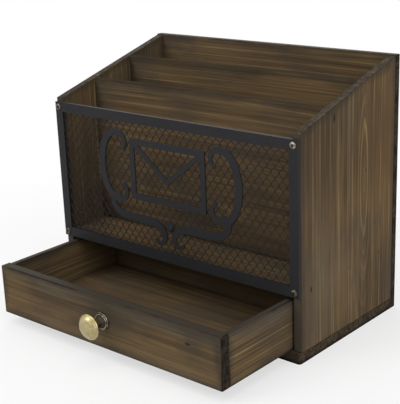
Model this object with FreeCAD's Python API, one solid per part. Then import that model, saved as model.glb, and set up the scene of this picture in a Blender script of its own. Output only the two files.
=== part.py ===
import FreeCAD, Part
import math
import os

# Desktop letter sorter with a drawer, in millimetres.
# +X is to the right, the front faces -Y, +Z is up.
# The origin is the centre of the cabinet's footprint, on the surface it stands on.
# The drawer is drawn pulled out by drawer_pull; closed it slides back by the same amount.

# ---- cabinet boards
cabinet_width = 280.0       # over the side panels
side_thickness = 8.0
side_depth = 142.0          # front edge to back panel
side_front_top = 195.0      # height of the sides at their front edge, above the table
side_rear_top = 235.0       # height of the sides at the back panel
back_thickness = 7.0
back_rise = 1.0             # how far the back panel stands above the sides' rear corners
base_thickness = 10.0
base_lip = 2.5              # how far the base stands ahead of the sides
base_corner_radius = 3.0    # rounded front corners of the base, in plan
shelf_thickness = 8.0
shelf_underside = 59.5      # height of the roof over the drawer
divider_thickness = 7.0
board_edge_radius = 0.7     # sanded edges of every board
edge_radius_share = 0.2     # of a board's thinnest side, the most that its edges are rounded

# ---- steel front: a channel frame that grips a sheet of expanded mesh
frame_side_inset = 0.5      # from the side panels' outer faces
frame_top_inset = 3.5       # under the side panels' front corners
frame_foot_overhang = 0.5   # below the shelf
frame_bar_width = 9.0
frame_sheet = 0.8           # thickness of the folded steel
mesh_thickness = 1.0
mesh_grip = 3.0             # how far the mesh reaches into the channel
mesh_pitch_x = 8.0          # from bond to bond along a row
mesh_pitch_z = 10.4         # two rows of cells
mesh_bond_length = 1.4
mesh_bond_width = 1.3
mesh_strand_width = 0.7
mesh_border = 0.8           # closed strip round the mesh, hidden in the channel
smallest_hole = 0.1         # share of a whole cell, under which a cut-off cell is left closed

# ---- emblem: an envelope between scrolls, cut from sheet
emblem_thickness = 1.5
envelope_rise = 15.75       # the envelope's middle above the middle of the frame
envelope_width = 88.0
envelope_height = 56.0
envelope_line = 5.5         # width of its outline
flap_line = 4.5             # width of the flap's two lines
flap_drop = 32.0            # from the envelope's top edge to the flap's tip
scroll_line = 7.5           # widest part of a scroll
scroll_tip = 3.0            # width at a scroll's ends
side_scroll_length = 128.0
side_scroll_space = 36.0    # from the envelope to the middle of a side scroll
side_scroll_bend = 62.0     # degrees that half of it turns evenly
side_scroll_curl = 190.0    # degrees more, most of them near its end
foot_scroll_length = 104.0
foot_scroll_curl = 245.0
foot_scroll_space = 18.0    # from the envelope down to the middle of a foot scroll
foot_scroll_offset = 37.0   # from the centre line to the middle of a foot scroll
emblem_ball_radius = 4.5

# ---- drawer
drawer_pull = 88.5          # how far the drawer stands open
drawer_side_gap = 2.0       # between the drawer and each side panel
drawer_running_gap = 0.3    # between the drawer and the base board
drawer_rear_gap = 0.5       # between the closed drawer and the back panel
drawer_head_gap = 3.2       # between the drawer's front and the shelf over it
drawer_front_thickness = 9.6
drawer_wall_thickness = 6.0
drawer_wall_drop = 1.0      # how far the walls stay under the front's top edge
drawer_floor_thickness = 3.0
drawer_floor_height = 4.0   # underside of the floor above the drawer's lower edge
groove_depth = 3.0
groove_clearance = 0.1      # all round the floor in its grooves

# ---- knob
knob_height = 25.0          # above the drawer's lower edge
rosette_radius = 8.2
rosette_thickness = 2.4
rosette_edge_height = 0.7   # its upright edge
rosette_groove_radius = 6.4
rosette_groove_height = 1.2
rosette_face_radius = 4.9   # flat face that the knob stands on
rosette_bow = 0.35          # how far its rounded stretches stand off a straight line
knob_foot_radius = 5.5
knob_neck_radius = 4.2
knob_neck_length = 6.5      # foot to the end of the neck
knob_flare_length = 5.1     # neck to the cap's rim
knob_rim_height = 1.4
knob_cap_radius = 11.2
knob_bow = 0.9              # hollow of the neck and of the flare
knob_rim_bow = 0.1
knob_length = 20.5          # drawer front to the top of the cap
knob_thread_radius = 2.0
knob_thread_depth = 9.0

# ---- fasteners
fit_clearance = 0.05        # radial, round every screw and brad
frame_screw_radius = 1.5
frame_screw_length = 16.0
frame_screw_head_radius = 3.0
frame_screw_head_height = 1.7
frame_screw_point_length = 2.5
frame_screw_tip_radius = 0.3
knob_screw_head_radius = 3.6
knob_screw_head_height = 2.4
head_rim_share = 0.45       # of a screw head's height, its upright rim
recess_reach_share = 0.5    # of a screw head's radius, how far the cross reaches
recess_width_share = 0.3    # of a screw head's radius
recess_depth_share = 0.75   # of a screw head's height
brad_radius = 0.6
brad_head_radius = 1.0
brad_head_height = 0.8
brad_length = 22.0
brad_margin = 14.0          # from a board's end to its first brad
brad_cross_gap = 2.0        # past the brads that come the other way round a corner
back_brad_margin = 42.0     # from the sides to the brads along the back's long edges
drawer_brad_margin = 10.0
side_brad_count = 3         # along each joint of a side panel
back_brad_count = 5         # up each rear edge
back_row_count = 3          # along the base and along the shelf
drawer_brad_count = 2       # at each corner of the drawer

# ---- sizes that follow
side_front_y = -(side_depth + back_thickness - base_lip) / 2
side_rear_y = side_front_y + side_depth
back_rear_y = side_rear_y + back_thickness
back_height = side_rear_top + back_rise
base_front_y = side_front_y - base_lip
outer_x = cabinet_width / 2
inner_x = outer_x - side_thickness
shelf_top = shelf_underside + shelf_thickness
slot_depth = (side_depth - 2 * divider_thickness) / 3
frame_width = cabinet_width - 2 * frame_side_inset
frame_top = side_front_top - frame_top_inset
frame_bottom = shelf_underside - frame_foot_overhang
frame_depth = 2 * frame_sheet + mesh_thickness
frame_front_y = side_front_y - frame_depth
mesh_front_y = side_front_y - frame_sheet - mesh_thickness
drawer_x = inner_x - drawer_side_gap
drawer_z = base_thickness + drawer_running_gap
drawer_length = side_rear_y - drawer_rear_gap - base_front_y
drawer_front_y = base_front_y - drawer_pull
drawer_rear_y = drawer_front_y + drawer_length
drawer_front_height = shelf_underside - drawer_head_gap - drawer_z
drawer_wall_height = drawer_front_height - drawer_wall_drop
drawer_wall_front_y = drawer_front_y + drawer_front_thickness

X, Y, Z = FreeCAD.Vector(1, 0, 0), FreeCAD.Vector(0, 1, 0), FreeCAD.Vector(0, 0, 1)


def vec(x, y, z):
    return FreeCAD.Vector(x, y, z)


def side_top_at(y):
    """Height of the sloping top edge of the side panels at a depth y."""
    rise = side_rear_top - side_front_top
    return side_front_top + rise * (y - side_front_y) / side_depth


def box(x0, x1, y0, y1, z0, z1):
    return Part.makeBox(x1 - x0, y1 - y0, z1 - z0, vec(x0, y0, z0))


def soften(shape):
    """Round every edge of a board, by no more than its thinnest side allows."""
    size = shape.BoundBox
    thinnest = min(size.XLength, size.YLength, size.ZLength)
    radius = min(board_edge_radius, edge_radius_share * thinnest)
    return shape.makeFillet(radius, shape.Edges)


def board(x0, x1, y0, y1, z0, z1):
    return soften(box(x0, x1, y0, y1, z0, z1))


def prism(points, direction):
    """A solid from a closed outline of straight edges, pushed along a direction."""
    wire = Part.makePolygon(points + points[:1])
    return Part.Face(wire).extrude(direction)


def rod(radius, length, start, axis):
    return Part.makeCylinder(radius, length, start, axis)


def turned(profile, start, axis):
    """A solid of revolution from (radius, height) points and arcs.

    A profile entry is a point, or a pair (middle, end) for an arc through middle."""
    edges, last = [], vec(0, 0, profile[0][1])
    for entry in profile:
        if isinstance(entry[0], tuple):
            middle, end = (vec(p[0], 0, p[1]) for p in entry)
            edges.append(Part.Arc(last, middle, end).toShape())
        else:
            end = vec(entry[0], 0, entry[1])
            if end.isEqual(last, 1e-6):
                continue
            edges.append(Part.LineSegment(last, end).toShape())
        last = end
    edges.append(Part.LineSegment(last, vec(0, 0, profile[0][1])).toShape())
    solid = Part.Face(Part.Wire(edges)).revolve(vec(0, 0, 0), Z, 360)
    solid.Placement = FreeCAD.Placement(start, FreeCAD.Rotation(Z, axis))
    return solid


def bowed(start, end, bow):
    """A profile arc from start to end whose middle stands off the straight line between
    them by bow, to the left of the way from start to end."""
    (r0, h0), (r1, h1) = start, end
    length = math.hypot(r1 - r0, h1 - h0)
    return ((r0 + r1) / 2 - bow * (h1 - h0) / length,
            (h0 + h1) / 2 + bow * (r1 - r0) / length), end


def dome(radius, foot, top):
    """A profile arc from (radius, foot) to the axis at top, on a sphere about the axis."""
    height = top - foot
    ball = (radius ** 2 + height ** 2) / (2 * height)
    angle = math.asin(radius / ball) / 2
    return (ball * math.sin(angle), top - ball * (1 - math.cos(angle))), (0, top)


# ---- fasteners
def brad(start, axis, clearance=0.0):
    """A brad whose head is flush with the surface at start and whose point lies along axis."""
    head = rod(brad_head_radius + clearance, brad_head_height + clearance, start, axis)
    shank = rod(brad_radius + clearance, brad_length + clearance, start, axis)
    return head.fuse(shank).removeSplitter()


def spread(low, high, count, margin):
    """Evenly spaced places between low and high, a margin in from each end."""
    step = (high - low - 2 * margin) / (count - 1)
    return [low + margin + i * step for i in range(count)]


def brad_places():
    """(start, axis) of every brad, by the group that it belongs to."""
    side_mid = outer_x - side_thickness / 2
    shelf_mid = shelf_underside + shelf_thickness / 2
    past_back_brads = brad_length + brad_cross_gap
    depths = spread(side_front_y, side_rear_y, side_brad_count, past_back_brads)
    places = {"base_brads": [], "shelf_brads": [], "divider_brads": [],
              "back_brads": [], "drawer_brads": []}
    for side in (-1, 1):
        inward = X * -side
        for y in depths:
            places["base_brads"].append((vec(side * side_mid, y, 0), Z))
            places["shelf_brads"].append((vec(side * outer_x, y, shelf_mid), inward))
        for front in divider_fronts():
            y = front + divider_thickness / 2
            for z in spread(shelf_top, side_top_at(front), side_brad_count, brad_margin):
                places["divider_brads"].append((vec(side * outer_x, y, z), inward))
        for z in spread(0, back_height, back_brad_count, brad_margin):
            places["back_brads"].append((vec(side * side_mid, back_rear_y, z), -Y))
        drawer_mid = drawer_x - drawer_wall_thickness / 2
        rear_mid = drawer_rear_y - drawer_wall_thickness / 2
        for z in spread(drawer_z, drawer_z + drawer_wall_height, drawer_brad_count,
                        drawer_brad_margin):
            places["drawer_brads"].append((vec(side * drawer_mid, drawer_front_y, z), Y))
            places["drawer_brads"].append((vec(side * drawer_x, rear_mid, z), inward))
    for x in spread(-inner_x, inner_x, back_row_count, back_brad_margin):
        for z in (base_thickness / 2, shelf_mid):
            places["back_brads"].append((vec(x, back_rear_y, z), -Y))
    return places


def drill(board_shape, groups, places):
    """Cut a board free of the brads of the named groups."""
    holes = [brad(s, a, fit_clearance) for g in groups for s, a in places[g]]
    return board_shape.cut(Part.makeCompound(holes))


def frame_screw_places():
    inset = frame_bar_width / 2
    x = frame_width / 2 - inset
    return [vec(side * x, frame_front_y, z) for side in (-1, 1)
            for z in (frame_bottom + inset, frame_top - inset)]


def cross_recess(start, axis, reach, width, depth):
    """The cross cut into a screw's head, open at start."""
    arms = [Part.makeBox(2 * a, 2 * b, depth, vec(-a, -b, 0))
            for a, b in ((reach, width / 2), (width / 2, reach))]
    cross = arms[0].fuse(arms[1])
    cross.Placement = FreeCAD.Placement(start, FreeCAD.Rotation(Z, axis))
    return cross


def pan_head(radius, height, seat, axis):
    """A domed screw head that stands on seat and rises along axis, and its cross recess."""
    rim = head_rim_share * height
    head = turned([(radius, 0), (radius, rim), dome(radius, rim, height)], seat, axis)
    recess = cross_recess(seat + axis * height, -axis, recess_reach_share * radius,
                          recess_width_share * radius, recess_depth_share * height)
    return head, recess


def frame_screw(seat):
    """A pan-head wood screw: the head stands on seat, the shank runs along +Y."""
    head, recess = pan_head(frame_screw_head_radius, frame_screw_head_height, seat, -Y)
    straight = frame_screw_length - frame_screw_point_length
    shank = rod(frame_screw_radius, straight, seat, Y)
    point = Part.makeCone(frame_screw_radius, frame_screw_tip_radius,
                          frame_screw_point_length, seat + Y * straight, Y)
    return head.fuse([shank, point]).cut(recess).removeSplitter()


# ---- cabinet
def divider_fronts():
    """Front faces of the two dividers: three letter slots of equal depth."""
    step = slot_depth + divider_thickness
    return [side_front_y + slot_depth, side_front_y + slot_depth + step]


def side_panel(side, places):
    x0 = side * outer_x
    outline = [vec(x0, side_front_y, base_thickness), vec(x0, side_rear_y, base_thickness),
               vec(x0, side_rear_y, side_rear_top), vec(x0, side_front_y, side_front_top)]
    panel = soften(prism(outline, X * (-side * side_thickness)))
    screws = [rod(frame_screw_radius + fit_clearance, frame_screw_length + fit_clearance,
                  seat, Y) for seat in frame_screw_places()]
    panel = panel.cut(Part.makeCompound(screws))
    return drill(panel, ("base_brads", "shelf_brads", "divider_brads", "back_brads"), places)


def base_board(places):
    base = box(-outer_x, outer_x, base_front_y, side_rear_y, 0, base_thickness)
    corners = [e for e in base.Edges
               if abs(e.BoundBox.YMin - base_front_y) < 0.01 and e.BoundBox.ZLength > 1]
    base = base.makeFillet(base_corner_radius, corners)
    rims = [e for e in base.Edges if e.BoundBox.ZLength < 0.01]
    base = base.makeFillet(board_edge_radius, rims)
    return drill(base, ("base_brads", "back_brads"), places)


def back_panel(places):
    panel = board(-outer_x, outer_x, side_rear_y, back_rear_y, 0, back_height)
    return drill(panel, ("back_brads",), places)


def letter_shelf(places):
    shelf = board(-inner_x, inner_x, side_front_y, side_rear_y, shelf_underside, shelf_top)
    return drill(shelf, ("shelf_brads", "back_brads"), places)


def divider(front, places):
    panel = board(-inner_x, inner_x, front, front + divider_thickness,
                  shelf_top, side_top_at(front))
    return drill(panel, ("divider_brads",), places)


# ---- steel front
def frame_bar(start, end, inward):
    """One folded channel, open towards inward, with mitred ends; start and end are the
    outer corners of the frame."""
    along = (end - start).normalize()
    w, slot_floor = frame_bar_width, frame_sheet
    outline = [start, end, end + (inward - along) * w, start + (inward + along) * w]
    bar = prism(outline, Y * -frame_depth)
    lift = inward * slot_floor - Y * frame_sheet
    slot = prism([p + lift for p in (start, end, end + inward * w, start + inward * w)],
                 Y * -mesh_thickness)
    holes = [rod(frame_screw_radius + fit_clearance, 2 * frame_depth, seat, Y)
             for seat in frame_screw_places()]
    return bar.cut(slot).cut(Part.makeCompound(holes))


def frame_bars():
    x, y = frame_width / 2, side_front_y
    corners = [vec(-x, y, frame_top), vec(x, y, frame_top),
               vec(x, y, frame_bottom), vec(-x, y, frame_bottom)]
    names = ["frame_top_bar", "frame_right_bar", "frame_bottom_bar", "frame_left_bar"]
    inward = [-Z, -X, Z, X]
    return {name: frame_bar(corners[i], corners[(i + 1) % 4], inward[i])
            for i, name in enumerate(names)}


def mesh_cell():
    """The hole of one mesh cell about (0, 0): upright bonds left and right, strands that
    meet in a point above and below."""
    half = mesh_pitch_x / 2
    bond_end = mesh_bond_length / 2
    rise = mesh_pitch_z / 2 - mesh_bond_length
    slant = math.hypot(half, rise)
    side = half - mesh_bond_width / 2
    top = bond_end + rise - slant * mesh_strand_width / (2 * half)
    shoulder = top - rise * side / half
    return [(0, top), (side, shoulder), (side, -shoulder),
            (0, -top), (-side, -shoulder), (-side, shoulder)]


def clip(points, axis, limit, keep_below):
    """The part of a closed outline on one side of a limit along one axis."""
    sign = 1 if keep_below else -1
    result = []
    for i, here in enumerate(points):
        before = points[i - 1]
        a, b = sign * (limit - before[axis]), sign * (limit - here[axis])
        if (a > 0) != (b > 0):
            t = a / (a - b)
            result.append(tuple(before[k] + t * (here[k] - before[k]) for k in (0, 1)))
        if b > 0:
            result.append(here)
    return result


def outline_area(points):
    return abs(sum(points[i - 1][0] * p[1] - p[0] * points[i - 1][1]
                   for i, p in enumerate(points))) / 2


def mesh_screen():
    inset = frame_bar_width - mesh_grip
    x1 = frame_width / 2 - inset
    z0, z1 = frame_bottom + inset, frame_top - inset
    middle = (frame_bottom + frame_top) / 2
    y = mesh_front_y + mesh_thickness
    rim = [vec(-x1, y, z0), vec(x1, y, z0), vec(x1, y, z1), vec(-x1, y, z1)]
    wires = [Part.makePolygon(rim + rim[:1])]
    cell = mesh_cell()
    smallest = smallest_hole * outline_area(cell)
    rows = int((z1 - z0) / mesh_pitch_z) + 1
    columns = int(x1 / mesh_pitch_x) + 1
    for row in range(-rows, rows + 1):
        for column in range(-columns, columns + 1):
            cx = (column + 0.5 * (row % 2)) * mesh_pitch_x
            cz = middle + row * mesh_pitch_z / 2
            hole = [(cx + px, cz + pz) for px, pz in cell]
            for axis, low, high in ((0, -x1, x1), (1, z0, z1)):
                hole = clip(hole, axis, high - mesh_border, True)
                hole = clip(hole, axis, low + mesh_border, False)
            if len(hole) > 2 and outline_area(hole) > smallest:
                corners = [vec(px, y, pz) for px, pz in hole]
                wires.append(Part.makePolygon(corners + corners[:1]))
    return Part.Face(wires).extrude(Y * -mesh_thickness)


# ---- emblem
def scroll(middle, length, heading, bend, curl, s_shaped):
    """A flat bar that curls at both ends, thickest in the middle, in the plane y = 0.

    Its heading turns by bend s + curl s^3 degrees, where s runs from -1 to 1 along it. An
    S-shaped one turns the same way at both ends of s, so its two halves bend apart."""
    steps = 14
    stride = length / (2 * steps)

    def heading_at(s):
        turn = bend * abs(s) + curl * abs(s) ** 3
        return math.radians(heading + (turn if s_shaped or s > 0 else -turn))

    line = {0: (middle[0], middle[1])}
    for way in (1, -1):
        for i in range(steps):
            angle = heading_at(way * (i + 0.5) / steps)
            x, z = line[way * i]
            line[way * (i + 1)] = (x + way * stride * math.cos(angle),
                                   z + way * stride * math.sin(angle))
    sides = {1: [], -1: []}
    for i in range(-steps, steps + 1):
        s = i / steps
        half = scroll_tip / 2 + (scroll_line - scroll_tip) / 2 * (1 - s * s)
        angle = heading_at(s)
        for side in sides:
            sides[side].append(vec(line[i][0] - side * half * math.sin(angle), 0,
                                   line[i][1] + side * half * math.cos(angle)))
    edges = []
    for side in (1, -1):
        curve = Part.BSplineCurve()
        curve.interpolate(sides[side])
        edges.append(curve.toShape())
    for i, way in ((-1, 1), (0, -1)):
        angle = heading_at(way)
        end = (sides[1][i] + sides[-1][i]) / 2
        tip = end + vec(math.cos(angle), 0, math.sin(angle)) * (way * scroll_tip / 2)
        edges.append(Part.Arc(sides[1][i], tip, sides[-1][i]).toShape())
    wire = Part.Wire(Part.__sortEdges__(edges))
    return Part.Face(wire).extrude(Y * -emblem_thickness)


def stripe(start, end, width):
    """A straight bar with round ends in the plane y = 0, from one (x, z) point to another."""
    a, b = vec(start[0], 0, start[1]), vec(end[0], 0, end[1])
    along = (b - a).normalize()
    across = along.cross(Y) * (width / 2)
    bar = prism([a + across, b + across, b - across, a - across], Y * -emblem_thickness)
    ends = [rod(width / 2, emblem_thickness, p, -Y) for p in (a, b)]
    return bar.fuse(ends)


def emblem():
    x, line = envelope_width / 2 - envelope_line / 2, envelope_line
    middle = (frame_bottom + frame_top) / 2 + envelope_rise
    low = middle - envelope_height / 2 + line / 2
    high = middle + envelope_height / 2 - line / 2
    corners = [(-x, low), (x, low), (x, high), (-x, high)]
    pieces = [stripe(corners[i - 1], corners[i], line) for i in range(4)]
    tip = (0, high - flap_drop)
    pieces += [stripe(corners[i], tip, flap_line) for i in (2, 3)]
    foot_z = middle - envelope_height / 2 - foot_scroll_space
    for side in (-1, 1):
        beside = (side * (envelope_width / 2 + side_scroll_space), middle)
        pieces.append(scroll(beside, side_scroll_length, 90, side * side_scroll_bend,
                             side * side_scroll_curl, False))
        below = (side * foot_scroll_offset, foot_z)
        pieces.append(scroll(below, foot_scroll_length, 0, 0, side * foot_scroll_curl, True))
    pieces.append(rod(emblem_ball_radius, emblem_thickness, vec(0, 0, foot_z), -Y))
    whole = pieces[0].fuse(pieces[1:]).removeSplitter()
    whole.translate(Y * mesh_front_y)
    return whole


# ---- drawer
def drawer_floor_box(clearance):
    """The space of the drawer's floor, grown by a clearance all round."""
    reach = groove_depth - groove_clearance + clearance
    x = drawer_x - drawer_wall_thickness + reach
    low = drawer_z + drawer_floor_height
    return box(-x, x, drawer_wall_front_y - reach,
               drawer_rear_y - drawer_wall_thickness + reach,
               low - clearance, low + drawer_floor_thickness + clearance)


def drawer_boards(places):
    wall_top = drawer_z + drawer_wall_height
    inner = drawer_x - drawer_wall_thickness
    boards = {
        "drawer_front": board(-drawer_x, drawer_x, drawer_front_y, drawer_wall_front_y,
                              drawer_z, drawer_z + drawer_front_height),
        "drawer_left_side": board(-drawer_x, -inner, drawer_wall_front_y, drawer_rear_y,
                                  drawer_z, wall_top),
        "drawer_right_side": board(inner, drawer_x, drawer_wall_front_y, drawer_rear_y,
                                   drawer_z, wall_top),
        "drawer_back": board(-inner, inner, drawer_rear_y - drawer_wall_thickness,
                             drawer_rear_y, drawer_z, wall_top),
    }
    groove = drawer_floor_box(groove_clearance)
    boards = {name: drill(shape.cut(groove), ("drawer_brads",), places)
              for name, shape in boards.items()}
    hole = rod(knob_thread_radius + fit_clearance, 2 * drawer_front_thickness,
               vec(0, drawer_front_y, drawer_z + knob_height), Y)
    boards["drawer_front"] = boards["drawer_front"].cut(hole)
    boards["drawer_bottom"] = drawer_floor_box(0)
    return boards


# ---- knob
def knob_pieces():
    """Rosette, mushroom knob and the screw that pulls them to the drawer's front."""
    seat = vec(0, drawer_front_y, drawer_z + knob_height)
    r, t = rosette_radius, rosette_thickness
    edge = (r, rosette_edge_height)
    groove = (rosette_groove_radius, rosette_groove_height)
    rosette = turned([(r, 0), edge, bowed(edge, groove, -rosette_bow),
                      bowed(groove, (rosette_face_radius, t), -rosette_bow), (0, t)],
                     seat, -Y)
    rosette = rosette.cut(rod(knob_thread_radius + fit_clearance, t, seat, -Y))

    top = knob_length - t
    flare = (knob_neck_radius, knob_neck_length)
    rim_foot = (knob_cap_radius, knob_neck_length + knob_flare_length)
    rim_top = (knob_cap_radius, rim_foot[1] + knob_rim_height)
    knob = turned([(knob_foot_radius, 0), bowed((knob_foot_radius, 0), flare, knob_bow),
                   bowed(flare, rim_foot, knob_bow), bowed(rim_foot, rim_top, -knob_rim_bow),
                   dome(*rim_top, top)], seat - Y * t, -Y)
    thread = rod(knob_thread_radius + fit_clearance, knob_thread_depth + fit_clearance,
                 seat - Y * t, -Y)
    knob = knob.cut(thread)

    inside = seat + Y * drawer_front_thickness
    head, recess = pan_head(knob_screw_head_radius, knob_screw_head_height, inside, Y)
    shank_length = drawer_front_thickness + t + knob_thread_depth
    screw = head.fuse(rod(knob_thread_radius, shank_length, inside, -Y)).cut(recess)
    return {"knob_rosette": rosette, "knob": knob, "knob_screw": screw.removeSplitter()}


# ---- the whole part
def build():
    places = brad_places()
    front, rear = divider_fronts()
    nodes = {
        "base_board": base_board(places),
        "left_side_panel": side_panel(-1, places),
        "right_side_panel": side_panel(1, places),
        "back_panel": back_panel(places),
        "letter_shelf": letter_shelf(places),
        "front_divider": divider(front, places),
        "rear_divider": divider(rear, places),
        "mesh_screen": mesh_screen(),
        "emblem": emblem(),
        "frame_screws": Part.makeCompound([frame_screw(p) for p in frame_screw_places()]),
    }
    nodes.update(frame_bars())
    for group, spots in places.items():
        nodes[group] = Part.makeCompound([brad(start, axis) for start, axis in spots])
    nodes.update(drawer_boards(places))
    nodes.update(knob_pieces())
    return nodes


os.makedirs("parts", exist_ok=True)
for name, shape in build().items():
    if shape.Solids and len(shape.Solids) == 1:
        shape = shape.Solids[0]
    shape.exportStep(f"parts/{name}.step")
    print(name, len(shape.Solids), "solid(s)", shape.isValid())
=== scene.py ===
import math

import bpy
import numpy as np
from mathutils import Matrix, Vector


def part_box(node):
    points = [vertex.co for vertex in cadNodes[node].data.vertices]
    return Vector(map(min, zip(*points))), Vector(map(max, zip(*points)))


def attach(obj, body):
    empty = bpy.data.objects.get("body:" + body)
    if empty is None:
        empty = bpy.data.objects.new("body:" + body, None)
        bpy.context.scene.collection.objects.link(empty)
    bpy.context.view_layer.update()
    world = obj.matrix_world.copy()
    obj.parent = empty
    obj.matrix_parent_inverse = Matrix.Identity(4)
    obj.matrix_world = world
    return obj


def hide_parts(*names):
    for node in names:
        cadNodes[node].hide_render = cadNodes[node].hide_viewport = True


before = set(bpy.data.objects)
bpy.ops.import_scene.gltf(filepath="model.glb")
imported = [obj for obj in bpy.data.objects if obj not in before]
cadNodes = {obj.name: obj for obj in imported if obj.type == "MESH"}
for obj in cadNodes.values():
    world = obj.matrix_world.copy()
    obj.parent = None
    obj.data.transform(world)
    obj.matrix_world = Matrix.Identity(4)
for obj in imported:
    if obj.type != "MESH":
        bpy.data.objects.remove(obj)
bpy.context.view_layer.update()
mm = 0.001
print("frame loaded:", len(cadNodes), "nodes")


# Colours are written as 0-255 screen values and turned into Blender's linear ones here.
def colour(red, green, blue):
    screen = np.array([red, green, blue]) / 255
    linear = np.where(screen <= 0.04045, screen / 12.92, ((screen + 0.055) / 1.055) ** 2.4)
    return (*linear.tolist(), 1.0)


# Small helpers for wiring shader nodes. A value is either a number or another node's output.
def plug(tree, socket, value):
    if isinstance(value, bpy.types.NodeSocket):
        tree.links.new(value, socket)
    else:
        socket.default_value = value


def calc(tree, operation, *values):
    made = tree.nodes.new("ShaderNodeMath")
    made.operation = operation
    for socket, value in zip(made.inputs, values):
        plug(tree, socket, value)
    return made.outputs[0]


def diagonal(tree, a, b):
    squares = calc(tree, "ADD", calc(tree, "MULTIPLY", a, a), calc(tree, "MULTIPLY", b, b))
    return calc(tree, "SQRT", squares)


def remap(tree, value, fromLow, fromHigh, toLow=0.0, toHigh=1.0):
    # eased step: toLow below fromLow, toHigh above fromHigh
    made = tree.nodes.new("ShaderNodeMapRange")
    made.interpolation_type = "SMOOTHSTEP"
    for key, number in zip(("Value", "From Min", "From Max", "To Min", "To Max"),
                           (value, fromLow, fromHigh, toLow, toHigh)):
        plug(tree, made.inputs[key], number)
    return made.outputs["Result"]


def joinXyz(tree, x, y, z):
    made = tree.nodes.new("ShaderNodeCombineXYZ")
    for socket, value in zip(made.inputs, (x, y, z)):
        plug(tree, socket, value)
    return made.outputs[0]


def splitXyz(tree, vector):
    made = tree.nodes.new("ShaderNodeSeparateXYZ")
    tree.links.new(vector, made.inputs[0])
    return list(made.outputs)


def placeIn(tree, place, unit):
    # the piece's own coordinates, counted in units of that many metres
    made = tree.nodes.new("ShaderNodeVectorMath")
    made.operation = "SCALE"
    made.inputs["Scale"].default_value = 1 / unit
    tree.links.new(place.outputs["Object"], made.inputs[0])
    return made.outputs[0]


def noise(tree, vector, detail, rough):
    made = tree.nodes.new("ShaderNodeTexNoise")
    made.inputs["Scale"].default_value = 1.0
    made.inputs["Detail"].default_value = detail
    made.inputs["Roughness"].default_value = rough
    plug(tree, made.inputs["Vector"], vector)
    return made.outputs["Fac"]


def ramp(tree, value, stops):
    made = tree.nodes.new("ShaderNodeValToRGB")
    elements = made.color_ramp.elements
    while len(elements) < len(stops):
        elements.new(0.5)
    for element, (place, shade) in zip(elements, stops):
        element.position = place
        element.color = shade
    plug(tree, made.inputs["Fac"], value)
    return made.outputs["Color"]


def blend(tree, amount, under, over, way="MIX"):
    made = tree.nodes.new("ShaderNodeMix")
    made.data_type = "RGBA"
    made.blend_type = way
    plug(tree, made.inputs[0], amount)
    plug(tree, made.inputs[6], under)
    plug(tree, made.inputs[7], over)
    return made.outputs[2]


def darken(tree, shade, share):
    # the colour times a share
    return blend(tree, 1.0, shade, joinXyz(tree, share, share, share), "MULTIPLY")


def bump(tree, shader, height, depth):
    made = tree.nodes.new("ShaderNodeBump")
    made.inputs["Strength"].default_value = 1.0
    made.inputs["Distance"].default_value = depth
    plug(tree, made.inputs["Height"], height)
    tree.links.new(made.outputs["Normal"], shader.inputs["Normal"])


def startMaterial(name):
    material = bpy.data.materials.new(name)
    material.use_nodes = True
    tree = material.node_tree
    place = tree.nodes.new("ShaderNodeTexCoord")
    return material, tree, tree.nodes["Principled BSDF"], place


def dress(piece, material):
    piece.data.materials.clear()
    piece.data.materials.append(material)


def boxInMm(node):
    low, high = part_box(node)
    return np.array(low) / mm, np.array(high) / mm


# Torched wood: softwood boards that were burnt, brushed and waxed. Lengths are millimetres.
torchedWood = {
    "gold": colour(150, 128, 90),      # late wood, brushed bright
    "tan": colour(112, 93, 66),
    "brown": colour(93, 77, 56),
    "russet": colour(104, 81, 54),
    "deep": colour(70, 57, 43),
    "smoke": colour(74, 67, 58),
    "edgeSmoke": colour(58, 53, 46),
    "char": colour(25, 24, 22),
    "ash": colour(86, 79, 69),
    "cut": colour(84, 72, 56),         # end grain where it isn't burnt
    "crumb": colour(110, 98, 80),
    "knot": colour(38, 29, 22),
    "toneMix": {"tone": 0.3, "streak": 0.34, "hair": 0.36},     # noises, mixed in these shares
    "toneLevels": {"deep": 0.39, "brown": 0.50, "tan": 0.61},   # the mix that gives each colour
    "grainDrift": 15.0,         # how far the lines wander from straight
    "ringPeak": 0.89,           # where in a ring its bright line is brightest
    "ringDrop": 0.94,           # and where it is grey again
    "lineFade": (0.2, 1.7),     # shares of its width between which a single line fades out
    "fibreTone": (0.7, 0.65),   # brightness = fibre noise times the first, plus the second
    "hairTone": (0.8, 0.6),
    "smokeLevels": (0.42, 0.68),
    "patchFade": (0.4, 1.3),    # shares of its half sizes between which a patch fades out
    "patchWobble": 1.4,
    "patchLines": 0.8,          # strength of the bright lines in a patch
    "knotFade": (0.5, 1.5),
    "knotStrength": 0.85,
    "knotLength": 2.6,          # over its width
    "charReach": (0.2, 1.6),    # distances from a board's edge between which the char ends
    "charWobble": 2.6,
    "smokeReach": 9.0,          # the softer, browner scorch behind it
    "smokeWobble": 15.0,
    "smokeStrength": 0.62,
    "sideTurn": (0.6, 0.95),    # how far a face turns to be one of the narrow long edges
    "sideSmokeAndShade": 0.7,        # of that smoke with painted light and shade, laid all over them
    "endTurn": (0.55, 0.9),     # how far a face turns to be a cut end
    "crumbs": (3.4, 4),         # size and detail of the speckles on cut ends
    "cutLevels": {"char": 0.33, "deep": 0.43, "cut": 0.56, "crumb": 0.74},
    "burns": (9.0, 3),          # size and detail of the burnt patches on them
    "burnLevels": (0.4, 0.62),
    "burnShares": (0.6, 1.4),   # of "endBurn", between the patches and in them
    "speckleRough": 0.65,
    "roughness": 0.62,
    "lineGloss": 0.2,           # how much smoother the bright lines are
    "charRough": 0.18,          # how much rougher the char is
    "shine": 0.03,
    "grainDepth": 0.00028,      # metres of relief on the brushed surface
    "fibreRelief": 0.6,         # over that of the bright lines
    "speckleRelief": 0.8,
}
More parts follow.
